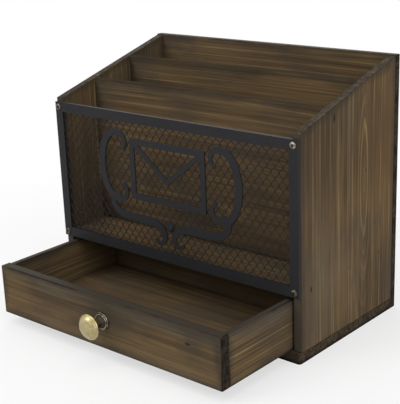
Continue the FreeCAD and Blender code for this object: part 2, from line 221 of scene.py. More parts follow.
# The wood's uneven places are noise. Each has the width across the grain and the length along
# it of one blot, the noise's detail, shift and roughness, and, where it is eased into a step,
# the two levels between which it rises and what it rises from and to.
woodNoise = {
    "drift": (60, 520, 1, 1.3, 0.5),
    "yearUneven": (22, 520, 1, 4.1, 0.5),
    "yearStrength": (13, 130, 2, 7.7, 0.5, 0.40, 0.62, 0.0, 1.0),
    "fineUneven": (22, 520, 1, 8.4, 0.5),
    "fineStrength": (24, 160, 2, 17.2, 0.5, 0.42, 0.66, 0.0, 0.5),
    "lineWaver": (9, 70, 2, 25.6, 0.5, 0.36, 0.55, 0.3, 1.0),
    "fibre": (0.8, 36, 3, 2.9, 0.6),
    "hair": (1.5, 120, 3, 15.8, 0.6),
    "streak": (5, 320, 3, 5.3, 0.55),
    "tone": (34, 170, 2, 9.1, 0.5),
    "cloud": (48, 70, 3, 6.7, 0.6),
    "ruddy": (12, 260, 2, 28.4, 0.5, 0.48, 0.66, 0.0, 0.35),
    "burnt": (60, 90, 2, 12.9, 0.5, 0.56, 0.8, 0.0, 0.5),
    "smokeWaver": (26, 60, 2, 21.4, 0.5),
    "ragged": (3.5, 14, 3, 14.2, 0.65),
    "charPatches": (30, 45, 2, 19.5, 0.5, 0.36, 0.6, 0.1, 0.75),
}
# The bright late wood of a ring starts at "start" and ends before the next ring. "spacing" is
# over the board's own, and "uneven" says how much the rings crowd together and spread.
ringKinds = {
    "year": {"spacing": 1.0, "uneven": 1.6, "start": 0.76},
    "fine": {"spacing": 0.36, "uneven": 2.2, "start": 0.6},
}
# Each board's own values. "order" gives the axes across the face, through the board and along
# the grain. Places on a board are across and along it from its centre. "eye" is the middle of
# the long oval figure, "rings" the spacing of its rings, "squeeze" its width over its length,
# and "accents" the distance from it, width and strength of rings that stand out. "knots" holds
# each knot's place and size, "streaks" the distance across from the eye, width and strength of
# bright lines along the board, and "patches" each soft patch's colour, place, half sizes and
# strength. "lines" is how strong the bright growth lines are, "smoke" how strong the grey
# clouds, and "tone" how light the wood. "longEdgeLightAndSmoke" is how light the narrow long
# edges are: it scales their smoke colour, and is painted light and shade, lighter where they
# face away from the lamps and darker where the lamps and sheen catch them. "endBurn" is how
# black the cut ends are, "edgeBurn" how black the edges, and "underDarkening" how far up from
# the underside the board darkens towards black. "cleanFoot" moves the burn of the lowest edge
# that far down, off the board. "shine" is how much the wax reflects.
plainBoard = {
    "squeeze": 0.085, "accents": (), "knots": (), "streaks": (), "patches": (),
    "lines": 0.4, "smoke": 0.6, "tone": 1.0, "longEdgeLightAndSmoke": 1.0,
    "endBurn": 0.5, "edgeBurn": 1.0, "underDarkening": 0.0, "cleanFoot": 0.0,
    "shine": torchedWood["shine"],
}
boards = {
    "right_side_panel": {
        "order": "yxz", "eye": (22, 15), "rings": 8.5, "squeeze": 0.13, "seed": 3.0,
        "knots": ((-24, 77, 1.4), (-57, -60, 1.0)), "accents": ((6.2, 0.7, 0.6),),
        "streaks": ((-20, 1.4, 0.4), (-25, 0.7, 0.5), (15, 0.8, 0.55), (27, 0.6, 0.5),
                    (-51, 0.5, 0.4), (-66, 0.5, 0.55), (-71, 0.4, 0.5), (-76, 0.5, 0.45),
                    (41, 0.6, 0.4)),
        "patches": (("smoke", -50, 62, 36, 56, 0.45), ("deep", -50, 66, 38, 56, 0.7),
                    ("tan", -20, -80, 55, 34, 0.4), ("ash", -46, -80, 24, 40, 0.4),
                    ("russet", 52, 40, 26, 80, 0.8), ("gold", -16, 22, 5, 62, 0.2),
                    ("russet", 20, 30, 12, 60, 0.4), ("deep", 30, 56, 50, 56, 0.5),
                    ("crumb", -34, -45, 34, 36, 0.3), ("deep", 33, -75, 4, 40, 0.5),
                    ("deep", -14, 72, 3, 26, 0.6)),
        "endBurn": 0.42, "longEdgeLightAndSmoke": 1.7, "edgeBurn": 0.35, "cleanFoot": 12.0},
    "left_side_panel": {
        "order": "yxz", "eye": (-25, 30), "rings": 9.5, "seed": 11.0,
        "knots": ((30, -35, 1.8),), "accents": ((5.5, 0.7, 0.5), (11, 0.6, 0.35)),
        "streaks": ((20, 1.0, 0.4), (34, 0.6, 0.5), (60, 0.5, 0.45)),
        "patches": (("smoke", 40, 60, 34, 50, 0.7), ("tan", 10, -70, 50, 34, 0.4)),
        "endBurn": 0.42, "longEdgeLightAndSmoke": 1.7, "edgeBurn": 0.35, "cleanFoot": 12.0},
    "back_panel": {
        "order": "zyx", "eye": (-60, 40), "rings": 9.0, "seed": 23.0,
        "knots": ((40, -70, 2.2), (-20, 60, 1.6)), "accents": ((6.0, 0.8, 0.45), (12.5, 0.7, 0.35)),
        "streaks": ((88, 0.8, 0.45), (101, 0.6, 0.5), (-30, 0.7, 0.4)),
        "patches": (("smoke", -70, 60, 40, 90, 0.6), ("tan", 60, -40, 40, 90, 0.4)),
        "smoke": 0.8, "tone": 1.22, "endBurn": 0.9, "longEdgeLightAndSmoke": 0.8, "edgeBurn": 0.6},
    "front_divider": {
        "order": "zyx", "eye": (-40, -60), "rings": 8.0, "seed": 31.0,
        "tone": 1.22, "longEdgeLightAndSmoke": 0.7, "edgeBurn": 0.6, "shine": 0.0},
    "rear_divider": {
        "order": "zyx", "eye": (-90, 30), "rings": 8.0, "seed": 37.0,
        "tone": 1.22, "longEdgeLightAndSmoke": 0.7, "edgeBurn": 0.6, "shine": 0.0},
    "letter_shelf": {"order": "yzx", "eye": (-50, 20), "rings": 9.0, "seed": 43.0},
    "base_board": {
        "order": "yzx", "eye": (30, -30), "rings": 9.0, "seed": 47.0, "tone": 0.9,
        "endBurn": 0.4, "longEdgeLightAndSmoke": 0.7, "edgeBurn": 0.3, "underDarkening": 4.5},
    "drawer_front": {
        "order": "zyx", "eye": (-44, 25), "rings": 7.0, "seed": 53.0, "knots": ((8, 96, 1.0),),
        "streaks": ((39, 0.6, 0.2), (30, 0.5, 0.25), (24, 0.5, 0.2)),
        "patches": (("ash", 25, 20, 14, 170, 0.8), ("smoke", 2, -40, 22, 60, 0.3),
                    ("deep", 22, 0, 12, 50, 0.35), ("tan", 0, -125, 26, 34, 0.5),
                    ("tan", -24, 10, 15, 170, 0.5), ("crumb", -24, 30, 13, 150, 0.35),
                    ("tan", -11, 75, 12, 100, 0.35)),
        "lines": 0.16, "smoke": 0.75, "tone": 0.75, "endBurn": 1.1, "longEdgeLightAndSmoke": 0.85},
    "drawer_left_side": {"order": "zxy", "eye": (-38, 20), "rings": 6.5, "seed": 61.0},
    "drawer_right_side": {
        "order": "zxy", "eye": (-34, -20), "rings": 6.5, "seed": 67.0,
        "streaks": ((36, 0.7, 0.6), (24, 0.5, 0.4), (31, 0.4, 0.3)),
        "patches": (("ash", 22, 5, 14, 75, 0.85),), "lines": 0.26, "longEdgeLightAndSmoke": 0.85},
    "drawer_back": {"order": "zyx", "eye": (30, -20), "rings": 7.0, "seed": 71.0},
    "drawer_bottom": {
        "order": "yzx", "eye": (-90, 0), "rings": 12.0, "seed": 79.0, "tone": 1.06},
}


def topSlope(node, near=2):
    # rise per length of a board's top edge, front to rear, and its height at the front, from
    # the corners that lie within that many millimetres of the board's ends
    low, high = boxInMm(node)
    points = np.array([v.co for v in cadNodes[node].data.vertices]) / mm
    front = points[points[:, 1] < low[1] + near, 2].max()
    rear = points[points[:, 1] > high[1] - near, 2].max()
    return (rear - front) / (high[1] - low[1]), front


class BoardWood:
    # One board's material. "part" is a place in the part's own axes, and across, through and
    # along are the same place measured from the board's centre.
    def __init__(self, node):
        self.node, self.board = node, {**plainBoard, **boards[node]}
        self.material, self.tree, self.shader, place = startMaterial("torched wood " + node)
        self.low, self.high = boxInMm(node)
        self.part = splitXyz(self.tree, placeIn(self.tree, place, mm))
        facing = splitXyz(self.tree, place.outputs["Normal"])
        axes = ["xyz".index(letter) for letter in self.board["order"]]
        middle = (self.low + self.high) / 2
        self.across, self.through, self.along = (
            calc(self.tree, "SUBTRACT", self.part[i], middle[i]) for i in axes)
        self.facesAcross, self.facesAlong = (
            calc(self.tree, "ABSOLUTE", facing[axes[i]]) for i in (0, 2))
        self.made = {}

    def blots(self, name):
        # one of the wood's noises on this board, made the first time that it is asked for
        if name not in self.made:
            width, length, detail, shift, rough, *step = woodNoise[name]
            tree, seed = self.tree, self.board["seed"]
            spot = joinXyz(tree, calc(tree, "MULTIPLY_ADD", self.across, 1 / width, seed + shift),
                           calc(tree, "MULTIPLY_ADD", self.through, 1 / width, shift),
                           calc(tree, "MULTIPLY_ADD", self.along, 1 / length, seed))
            level = noise(tree, spot, detail, rough)
            self.made[name] = remap(tree, level, *step) if step else level
        return self.made[name]

    def speckles(self, size, detail):
        # noise with round blots
        tree = self.tree
        spot = joinXyz(tree, calc(tree, "MULTIPLY_ADD", self.across, 1 / size, self.board["seed"]),
                       calc(tree, "MULTIPLY", self.through, 1 / size),
                       calc(tree, "MULTIPLY", self.along, 1 / size))
        return noise(tree, spot, detail, torchedWood["speckleRough"])

    def edgeDistance(self):
        # A point on a face lies at distance 0 from that face. The middle one of its distances
        # to the three pairs of faces is therefore the distance to the nearest edge.
        tree, start = self.tree, self.low - [0, 0, self.board["cleanFoot"]]
        slope, front = topSlope(self.node)
        isSloping = abs(slope) > 0.05
        gaps = []
        for axis in range(3):
            below = calc(tree, "SUBTRACT", self.part[axis], start[axis])
            top = self.high[axis]
            if axis == 2 and isSloping:
                run = calc(tree, "SUBTRACT", self.part[1], self.low[1])
                top = calc(tree, "MULTIPLY_ADD", run, slope, front)
            above = calc(tree, "SUBTRACT", top, self.part[axis])
            gaps.append(calc(tree, "MINIMUM", below, above))
        a, b, c = gaps
        lower, upper = calc(tree, "MINIMUM", a, b), calc(tree, "MAXIMUM", a, b)
        return calc(tree, "MAXIMUM", lower, calc(tree, "MINIMUM", upper, c))

    def fromEye(self):
        # distance from the eye straight across the grain, and in all, squeezed along the grain
        tree, board = self.tree, self.board
        drift = calc(tree, "SUBTRACT", self.blots("drift"), 0.5)
        aside = calc(tree, "ADD", calc(tree, "MULTIPLY", drift, torchedWood["grainDrift"]),
                     calc(tree, "SUBTRACT", self.across, board["eye"][0]))
        ahead = calc(tree, "MULTIPLY", calc(tree, "SUBTRACT", self.along, board["eye"][1]),
                     board["squeeze"])
        return aside, diagonal(tree, aside, ahead)

    def ringLines(self, distance):
        # year rings, and finer rings between them, are bright bands of the distance
        tree, board, look = self.tree, self.board, torchedWood
        black, dim, grey, white = ((v, v, v, 1) for v in (0, 0.04, 0.4, 1))
        lines = []
        for kind, ring in ringKinds.items():
            uneven = calc(tree, "MULTIPLY", self.blots(kind + "Uneven"), ring["uneven"])
            spacing = board["rings"] * ring["spacing"]
            count = calc(tree, "MULTIPLY_ADD", distance, 1 / spacing, uneven)
            bright = ramp(tree, calc(tree, "FRACT", count), [
                (0.0, black), (ring["start"], dim), (look["ringPeak"], white),
                (look["ringDrop"], grey), (1.0, black)])
            lines.append(calc(tree, "MULTIPLY", bright, self.blots(kind + "Strength")))
        return calc(tree, "MULTIPLY", calc(tree, "MAXIMUM", *lines), board["lines"])

    def growthLines(self):
        # a few lines stand out: rings close round the eye, and long streaks beside it
        tree = self.tree
        aside, distance = self.fromEye()
        line = self.ringLines(distance)
        accents = [(distance, *accent) for accent in self.board["accents"]]
        accents += [(aside, *streak) for streak in self.board["streaks"]]
        for measure, reach, width, strength in accents:
            off = calc(tree, "ABSOLUTE", calc(tree, "SUBTRACT", measure, reach))
            inner, outer = (share * width for share in torchedWood["lineFade"])
            ridge = calc(tree, "MULTIPLY", remap(tree, off, inner, outer, strength, 0.0),
                         self.blots("lineWaver"))
            line = calc(tree, "MAXIMUM", line, ridge)
        return line

    def plainShade(self, line):
        # uneven brown with ruddy streaks, the bright lines, smoky clouds and fine fibres
        tree, board, look = self.tree, self.board, torchedWood
        mixed = 0.0
        for name, share in look["toneMix"].items():
            mixed = calc(tree, "MULTIPLY_ADD", self.blots(name), share, mixed)
        shade = ramp(tree, mixed, [(level, look[key]) for key, level in look["toneLevels"].items()])
        shade = blend(tree, self.blots("ruddy"), shade, look["russet"])
        shade = blend(tree, line, shade, look["gold"])
        cloud = remap(tree, self.blots("cloud"), *look["smokeLevels"], 0.0, board["smoke"])
        shade = blend(tree, cloud, shade, look["smoke"])
        shade = blend(tree, self.blots("burnt"), shade, look["deep"])
        rise, least = look["fibreTone"]
        share = calc(tree, "MULTIPLY_ADD", self.blots("fibre"), rise, least * board["tone"])
        return darken(tree, shade, share)

    def ovalReach(self, middleAcross, middleAlong, halfAcross, halfAlong):
        # 0 in the middle of an oval, 1 on its outline
        tree = self.tree
        a = calc(tree, "DIVIDE", calc(tree, "SUBTRACT", self.across, middleAcross), halfAcross)
        g = calc(tree, "DIVIDE", calc(tree, "SUBTRACT", self.along, middleAlong), halfAlong)
        return diagonal(tree, a, g)

    def addPatches(self, shade, line):
        # soft patches with uneven edges, whose colour has the grain and the bright lines in it
        tree, look = self.tree, torchedWood
        grain = calc(tree, "MULTIPLY",
                     calc(tree, "MULTIPLY_ADD", self.blots("fibre"), *look["fibreTone"]),
                     calc(tree, "MULTIPLY_ADD", self.blots("hair"), *look["hairTone"]))
        for name, *oval, strength in self.board["patches"]:
            bright = calc(tree, "MULTIPLY", line, look["patchLines"])
            lined = blend(tree, bright, look[name], look["gold"])
            wobble = look["patchWobble"]
            reach = calc(tree, "MULTIPLY_ADD", self.blots("cloud"), wobble,
                         calc(tree, "ADD", self.ovalReach(*oval), -wobble / 2))
            amount = remap(tree, reach, *look["patchFade"], strength, 0.0)
            shade = blend(tree, amount, shade, darken(tree, lined, grain))
        return shade

    def addKnots(self, shade):
        look = torchedWood
        for across, along, size in self.board["knots"]:
            reach = self.ovalReach(across, along, size, look["knotLength"] * size)
            amount = remap(self.tree, reach, *look["knotFade"], look["knotStrength"], 0.0)
            shade = blend(self.tree, amount, shade, look["knot"])
        return shade

    def addSmokeAndEdgeShade(self, shade, toEdge):
        # a wide soft band of scorch, and over the narrow long edges smoke lightened or darkened per
        # board: painted light and shade
        tree, look = self.tree, torchedWood
        waver = calc(tree, "SUBTRACT", self.blots("smokeWaver"), 0.5)
        band = remap(tree, calc(tree, "MULTIPLY_ADD", waver, look["smokeWobble"], toEdge),
                     0.0, look["smokeReach"], look["smokeStrength"], 0.0)
        shade = blend(tree, band, shade, look["edgeSmoke"])
        # painted light and shade: narrow long faces get the edge smoke colour times each board's
        # value, standing in for how the lamps fall on them
        narrow = remap(tree, self.facesAcross, *look["sideTurn"], 0.0, look["sideSmokeAndShade"])
        smoke = [self.board["longEdgeLightAndSmoke"] * channel for channel in look["edgeSmoke"][:3]]
        return blend(tree, narrow, shade, (*smoke, 1.0))

    def charAndUnderDarkening(self, toEdge):
        # char at the edge itself comes and goes, and a board may also be darker towards its underside
        tree, board, look = self.tree, self.board, torchedWood
        ragged, wobble = calc(tree, "SUBTRACT", self.blots("ragged"), 0.5), look["charWobble"]
        char = remap(tree, calc(tree, "MULTIPLY_ADD", ragged, wobble, toEdge),
                     *look["charReach"], 1.0, 0.0)
        patchy = calc(tree, "MULTIPLY", self.blots("charPatches"), board["edgeBurn"])
        char = calc(tree, "MULTIPLY", char, patchy)
        # darker towards the underside, fading out that many mm up
        if board["underDarkening"] > 0:
            rise = calc(tree, "SUBTRACT", self.part[2], self.low[2])
            under = remap(tree, calc(tree, "MULTIPLY_ADD", ragged, 2 * wobble, rise),
                          0.0, board["underDarkening"], 1.0, 0.0)
            char = calc(tree, "MAXIMUM", char, under)
        return char

    def cutShade(self, speckle):
        # end grain, speckled with ash and crumbs and burnt in patches
        tree, look = self.tree, torchedWood
        shade = ramp(tree, speckle, [(level, look[key]) for key, level in look["cutLevels"].items()])
        least, most = (min(1.0, self.board["endBurn"] * share) for share in look["burnShares"])
        burnt = remap(tree, self.speckles(*look["burns"]), *look["burnLevels"], least, most)
        return blend(tree, burnt, shade, look["char"])

    def finish(self):
        tree, look, shader = self.tree, torchedWood, self.shader
        line, toEdge = self.growthLines(), self.edgeDistance()
        shade = self.addKnots(self.addPatches(self.plainShade(line), line))
        shade = self.addSmokeAndEdgeShade(shade, toEdge)
        cutEnd = remap(tree, self.facesAlong, *look["endTurn"])
        speckle = self.speckles(*look["crumbs"])
        shade = blend(tree, cutEnd, shade, self.cutShade(speckle))
        char = self.charAndUnderDarkening(toEdge)
        shade = blend(tree, char, shade, look["char"])
        tree.links.new(shade, shader.inputs["Base Color"])
        rough = calc(tree, "MULTIPLY_ADD", line, -look["lineGloss"], look["roughness"])
        rough = calc(tree, "MULTIPLY_ADD", char, look["charRough"], rough)
        tree.links.new(rough, shader.inputs["Roughness"])
        shader.inputs["Specular IOR Level"].default_value = self.board["shine"]
        relief = calc(tree, "MULTIPLY_ADD", self.blots("fibre"), look["fibreRelief"], line)
        relief = calc(tree, "MULTIPLY_ADD", calc(tree, "MULTIPLY", speckle, cutEnd),
                      look["speckleRelief"], relief)
        bump(tree, shader, relief, look["grainDepth"])
        return self.material


for nodeName in boards:
    dress(cadNodes[nodeName], BoardWood(nodeName).finish())
print("wood finished on", len(boards), "boards")


# Metals. "blots" holds the size in mm and the detail of a noise, "levels" the noise levels
# between which it rises, and "strength" what it rises to.
blackSteel = {
    "coat": colour(43, 43, 45),
    "worn": colour(66, 66, 69),
    "thin": colour(34, 34, 36),
    "rubbed": {"blots": (7, 4), "levels": (0.6, 0.78), "strength": 0.35},
    "cloudy": {"blots": (22, 3), "levels": (0.35, 0.7), "strength": 0.3},
    "peel": (1.4, 2),       # size in mm and detail of the powder coat's texture
    "peelDepth": 0.00005,   # metres
    "roughness": 0.47,
    "peelRough": 0.16,      # added to the roughness where the texture is high
    "shine": 0.1,
}
agedNickel = {
    "bright": colour(168, 160, 146),
    "dull": colour(96, 88, 76),
    # dark colour for the duller left and lower heads, and for the painted shade in each head's recess
    # and round its edge
    "grimeAndShade": colour(26, 22, 18),
    "stain": {"blots": (1.6, 4), "levels": (0.4, 0.65), "strength": 1.0},
    "recess": (0.875, 1.5),     # mm from a head's middle between which its recess ends
    "recessShade": 0.95,
    "rim": (2.43, 2.97),        # and between which its edge is darkened again with painted shade
    "rimShade": 0.7,
    "roughness": 0.38,
    "stainRough": 0.2,
    "shadeRough": 0.3,
    "headRadius": {"frame_screws": 3.0, "knob_screw": 3.6},
    "leftTarnish": 0.4,     # how far the grime dulls the frame's left heads
    "lowerTarnish": 0.6,    # and its lower ones
}
waxedHeads = {              # brad heads are sunk and waxed over in the colour of the wood
    "light": colour(94, 78, 57),
    "dark": colour(66, 54, 40),
    "smear": {"blots": (2.4, 3), "levels": (0.35, 0.65), "strength": 1.0},
    "smearDepth": 0.0001,
    "roughness": 0.62,
    "shine": 0.03,
}
antiqueBrass = {
    "knob": {"bright": colour(179, 167, 130), "warm": colour(165, 149, 102), "roughness": 0.34},
    "rosette": {"bright": colour(186, 178, 162), "warm": colour(96, 88, 74), "roughness": 0.24},
    "dark": colour(30, 26, 20),
    "tarnish": {"blots": (3.5, 4), "levels": (0.38, 0.66), "strength": 1.0},
    "tarnishShare": 0.5,    # of the tarnish noise that is added to the patina and painted shade for the dark wax
    "waxAndShadeLevels": (0.55, 1.15),
    "waxAndShadeStrength": 0.9,
    "waxAndShadeRough": 0.25,
    "grain": (0.7, 2),      # size in mm and detail of the cast surface's texture
    "grainDepth": 0.00003,
}


def metalNoise(tree, place, size, detail, rough=0.55):
    return noise(tree, placeIn(tree, place, size * mm), detail, rough)


def metalBlots(tree, place, kind):
    return remap(tree, metalNoise(tree, place, *kind["blots"]), *kind["levels"], 0.0, kind["strength"])


def steelMaterial():
    look = blackSteel
    material, tree, shader, place = startMaterial("black powder-coated steel")
    shade = blend(tree, metalBlots(tree, place, look["rubbed"]), look["coat"], look["worn"])
    shade = blend(tree, metalBlots(tree, place, look["cloudy"]), shade, look["thin"])
    tree.links.new(shade, shader.inputs["Base Color"])
    peel = metalNoise(tree, place, *look["peel"])
    rough = calc(tree, "MULTIPLY_ADD", peel, look["peelRough"], look["roughness"])
    tree.links.new(rough, shader.inputs["Roughness"])
    shader.inputs["Specular IOR Level"].default_value = look["shine"]
    bump(tree, shader, peel, look["peelDepth"])
    return material


def fromHead(tree, spot, reach):
    # distance from the middle of the nearest head, with heads at the corners of a box
    gaps = (calc(tree, "SUBTRACT", calc(tree, "ABSOLUTE", spot[axis]), max(reach[axis], 0.0))
            for axis in (0, 2))
    return diagonal(tree, *gaps)


def tarnishedHeads(tree, spot):
    # the frame's left and lower heads are duller
    shares = (calc(tree, "MULTIPLY", calc(tree, "LESS_THAN", spot[axis], 0.0), agedNickel[key])
              for axis, key in ((0, "leftTarnish"), (2, "lowerTarnish")))
    return calc(tree, "MAXIMUM", *shares)


def nickelMaterial(node):
    # heads stand at the corners of the node's box; painted shade darkens each one's cross recess and
    # its edge
    look = agedNickel
    material, tree, shader, place = startMaterial("aged nickel " + node)
    low, high = boxInMm(node)
    middle, reach = (low + high) / 2, (high - low) / 2 - look["headRadius"][node]
    spot = [calc(tree, "MULTIPLY_ADD", socket, 1 / mm, -centre)
            for socket, centre in zip(splitXyz(tree, place.outputs["Object"]), middle)]
    away = fromHead(tree, spot, reach)
    stain = metalBlots(tree, place, look["stain"])
    shade = blend(tree, stain, look["bright"], look["dull"])
    hasFourHeads = reach[0] > look["headRadius"][node]
    if hasFourHeads:
        shade = blend(tree, tarnishedHeads(tree, spot), shade, look["grimeAndShade"])
    # painted shade: a dark cross recess, too small to shade itself, and a dark ring where the head
    # meets the bar
    inside = remap(tree, away, *look["recess"], look["recessShade"], 0.0)
    outside = remap(tree, away, *look["rim"], 0.0, look["rimShade"])
    grimeAndShade = calc(tree, "MAXIMUM", inside, outside)
    tree.links.new(blend(tree, grimeAndShade, shade, look["grimeAndShade"]), shader.inputs["Base Color"])
    rough = calc(tree, "MULTIPLY_ADD", stain, look["stainRough"], look["roughness"])
    rough = calc(tree, "MULTIPLY_ADD", grimeAndShade, look["shadeRough"], rough)
    tree.links.new(rough, shader.inputs["Roughness"])
    # where shade is painted the head is not metal
    tree.links.new(calc(tree, "SUBTRACT", 1.0, grimeAndShade), shader.inputs["Metallic"])
    return material


def waxedHeadMaterial():
    look = waxedHeads
    material, tree, shader, place = startMaterial("waxed brad heads")
    smear = metalBlots(tree, place, look["smear"])
    tree.links.new(blend(tree, smear, look["light"], look["dark"]), shader.inputs["Base Color"])
    shader.inputs["Roughness"].default_value = look["roughness"]
    shader.inputs["Specular IOR Level"].default_value = look["shine"]
    bump(tree, shader, smear, look["smearDepth"])
    return material


def brassMaterial(name):
    look = {**antiqueBrass, **antiqueBrass[name]}
    material, tree, shader, place = startMaterial("antique brass " + name)
    # per point darkness: dark wax in the grooves, and painted shade on the knob's neck
    patinaAndShadeLevel = tree.nodes.new("ShaderNodeAttribute")
    patinaAndShadeLevel.attribute_name = "patinaAndShade"
    kind = look["tarnish"]
    tarnish = metalNoise(tree, place, *kind["blots"])
    shade = blend(tree, remap(tree, tarnish, *kind["levels"]), look["bright"], look["warm"])
    # painted shade on the neck and dark wax in the grooves both turn the brass towards the dark colour
    worn = calc(tree, "MULTIPLY_ADD", tarnish, look["tarnishShare"], patinaAndShadeLevel.outputs["Fac"])
    waxAndShade = remap(tree, worn, *look["waxAndShadeLevels"], 0.0, look["waxAndShadeStrength"])
    tree.links.new(blend(tree, waxAndShade, shade, look["dark"]), shader.inputs["Base Color"])
    rough = calc(tree, "MULTIPLY_ADD", waxAndShade, look["waxAndShadeRough"], look["roughness"])
    tree.links.new(rough, shader.inputs["Roughness"])
    shader.inputs["Metallic"].default_value = 1.0
    bump(tree, shader, metalNoise(tree, place, *look["grain"]), look["grainDepth"])
    return material


steel, waxed = steelMaterial(), waxedHeadMaterial()
finishes = {
    "frame_top_bar": steel, "frame_right_bar": steel, "frame_bottom_bar": steel,
    "frame_left_bar": steel, "mesh_screen": steel, "emblem": steel,
    "frame_screws": nickelMaterial("frame_screws"),
    "knob_screw": nickelMaterial("knob_screw"),
    "knob": brassMaterial("knob"), "knob_rosette": brassMaterial("rosette"),
    "base_brads": waxed, "shelf_brads": waxed, "divider_brads": waxed,
    "back_brads": waxed, "drawer_brads": waxed,
}
for nodeName, finish in finishes.items():
    dress(cadNodes[nodeName], finish)
print("metal finished on", len(finishes), "nodes")


def addPiece(name, points, faces, material, body, replaced, patinaAndShade=None):
    # points in millimetres, faces as lists of corner numbers; patinaAndShade also makes it smooth
    mesh = bpy.data.meshes.new(name)
    mesh.from_pydata((points * mm).tolist(), [], faces)
    mesh.polygons.foreach_set("use_smooth", [patinaAndShade is not None] * len(mesh.polygons))
    if patinaAndShade is not None:
        mesh.attributes.new("patinaAndShade", "FLOAT", "POINT").data.foreach_set("value", patinaAndShade)
    mesh.update()
    piece = bpy.data.objects.new(name, mesh)
    bpy.context.scene.collection.objects.link(piece)
    dress(piece, material)
    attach(piece, body)
    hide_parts(replaced)


# Expanded mesh: upright bonds in staggered rows, joined by slanting strands. Each bond and
# strand is a thin six-sided bar between two points. A bar's section is an ellipse that is
# turned a little about the bar, as the slit and stretched sheet leaves it.
meshScreen = {
    "pitchAcross": 8.0,
    "pitchUp": 10.4,        # two rows
    "bondLength": 1.4,
    "bondWidth": 1.3,
    "bondOverlap": 0.25,    # how far a bond runs on past its end points
    "strandWidth": 0.62,
    "strandOverlap": 0.15,
    "thickness": 0.95,
    "twist": 24.0,          # degrees
    "sides": 6,
    "margin": 0.6,          # from the sheet's outline to the bars' end points
    "shortest": 0.4,        # a bar that the outline cuts shorter is left out
}


def barMesh(starts, ends, width, twist, overlap):
    # ring k of a bar = end point + width/2 cos(angle) side + thickness/2 sin(angle) depth,
    # with side and depth turned by the twist about the bar's length
    sides, thickness = meshScreen["sides"], meshScreen["thickness"]
    along = (ends - starts) / np.linalg.norm(ends - starts, axis=1, keepdims=True)
    starts, ends = starts - along * overlap, ends + along * overlap
    depth = np.tile([0.0, 1.0, 0.0], (len(starts), 1))
    side = np.cross(along, depth)
    c, s = math.cos(math.radians(twist)), math.sin(math.radians(twist))
    side, depth = c * side + s * depth, c * depth - s * side
    angles = np.arange(sides) * 2 * np.pi / sides
    ring = (width / 2 * np.cos(angles)[None, :, None] * side[:, None, :]
            + thickness / 2 * np.sin(angles)[None, :, None] * depth[:, None, :])
    points = np.concatenate([starts[:, None, :] + ring, ends[:, None, :] + ring], axis=1)
    k = np.arange(sides)
    after = (k + 1) % sides
    quads = np.stack([k, k + sides, after + sides, after], axis=1)
    shift = (np.arange(len(starts)) * 2 * sides)[:, None, None]
    walls = (quads[None] + shift).reshape(-1, 4)
    caps = np.stack([k, k[::-1] + sides])
    lids = (caps[None] + shift).reshape(-1, sides)
    return points.reshape(-1, 3), walls, lids


def meshLines():
    # starts and ends of all bonds, of the strands to the right and of those to the left,
    # clipped to the sheet, and which of them are inside it
    look = meshScreen
    low, high = boxInMm("mesh_screen")
    halfAcross, halfUp = look["pitchAcross"] / 2, look["pitchUp"] / 2
    middle, plane = (low[2] + high[2]) / 2, (low[1] + high[1]) / 2
    rowCount = int((high[2] - low[2]) / look["pitchUp"]) + 2
    columnCount = int(high[0] / look["pitchAcross"]) + 2
    row, column = np.meshgrid(np.arange(-rowCount, rowCount + 1),
                              np.arange(-columnCount, columnCount + 1), indexing="ij")
    # cell centres in the solid are at whole pitches in even rows, so bonds are at half ones
    x = (column + 0.5 + 0.5 * (row % 2)) * look["pitchAcross"]
    z = middle + row * halfUp
    foot = np.stack([x, np.full(x.shape, plane), z - look["bondLength"] / 2], -1).reshape(-1, 3)
    head = foot + [0, 0, look["bondLength"]]
    rise = halfUp - look["bondLength"]
    starts = np.stack([foot, head, head])
    ends = np.stack([head, head + [halfAcross, 0, rise], head + [-halfAcross, 0, rise]])
    margin = np.array([look["margin"], 0, look["margin"]])
    upTo, downTo = (low + margin)[[0, 2]], (high - margin)[[0, 2]]
    inside = np.all((np.maximum(starts, ends)[..., [0, 2]] > upTo)
                    & (np.minimum(starts, ends)[..., [0, 2]] < downTo), axis=-1)
    starts = np.clip(starts, low + margin, high - margin)
    ends = np.clip(ends, low + margin, high - margin)
    inside &= np.linalg.norm(ends - starts, axis=-1) > look["shortest"]
    return starts, ends, inside


def buildMesh():
    look = meshScreen
    starts, ends, inside = meshLines()
    kinds = ((look["bondWidth"], 0.0, look["bondOverlap"]),
             (look["strandWidth"], look["twist"], look["strandOverlap"]),
             (look["strandWidth"], -look["twist"], look["strandOverlap"]))
    pieces = [barMesh(starts[i][inside[i]], ends[i][inside[i]], *kind)
              for i, kind in enumerate(kinds)]
    points = np.concatenate([p for p, _, _ in pieces])
    shifts = np.cumsum([0] + [len(p) for p, _, _ in pieces[:-1]])
    walls = np.concatenate([w + s for (_, w, _), s in zip(pieces, shifts)])
    lids = np.concatenate([q + s for (_, _, q), s in zip(pieces, shifts)])
    addPiece("meshStrands", points, walls.tolist() + lids.tolist(), steel, "cabinet",
             "mesh_screen")
    print("mesh screen:", inside.sum(), "bars")


buildMesh()


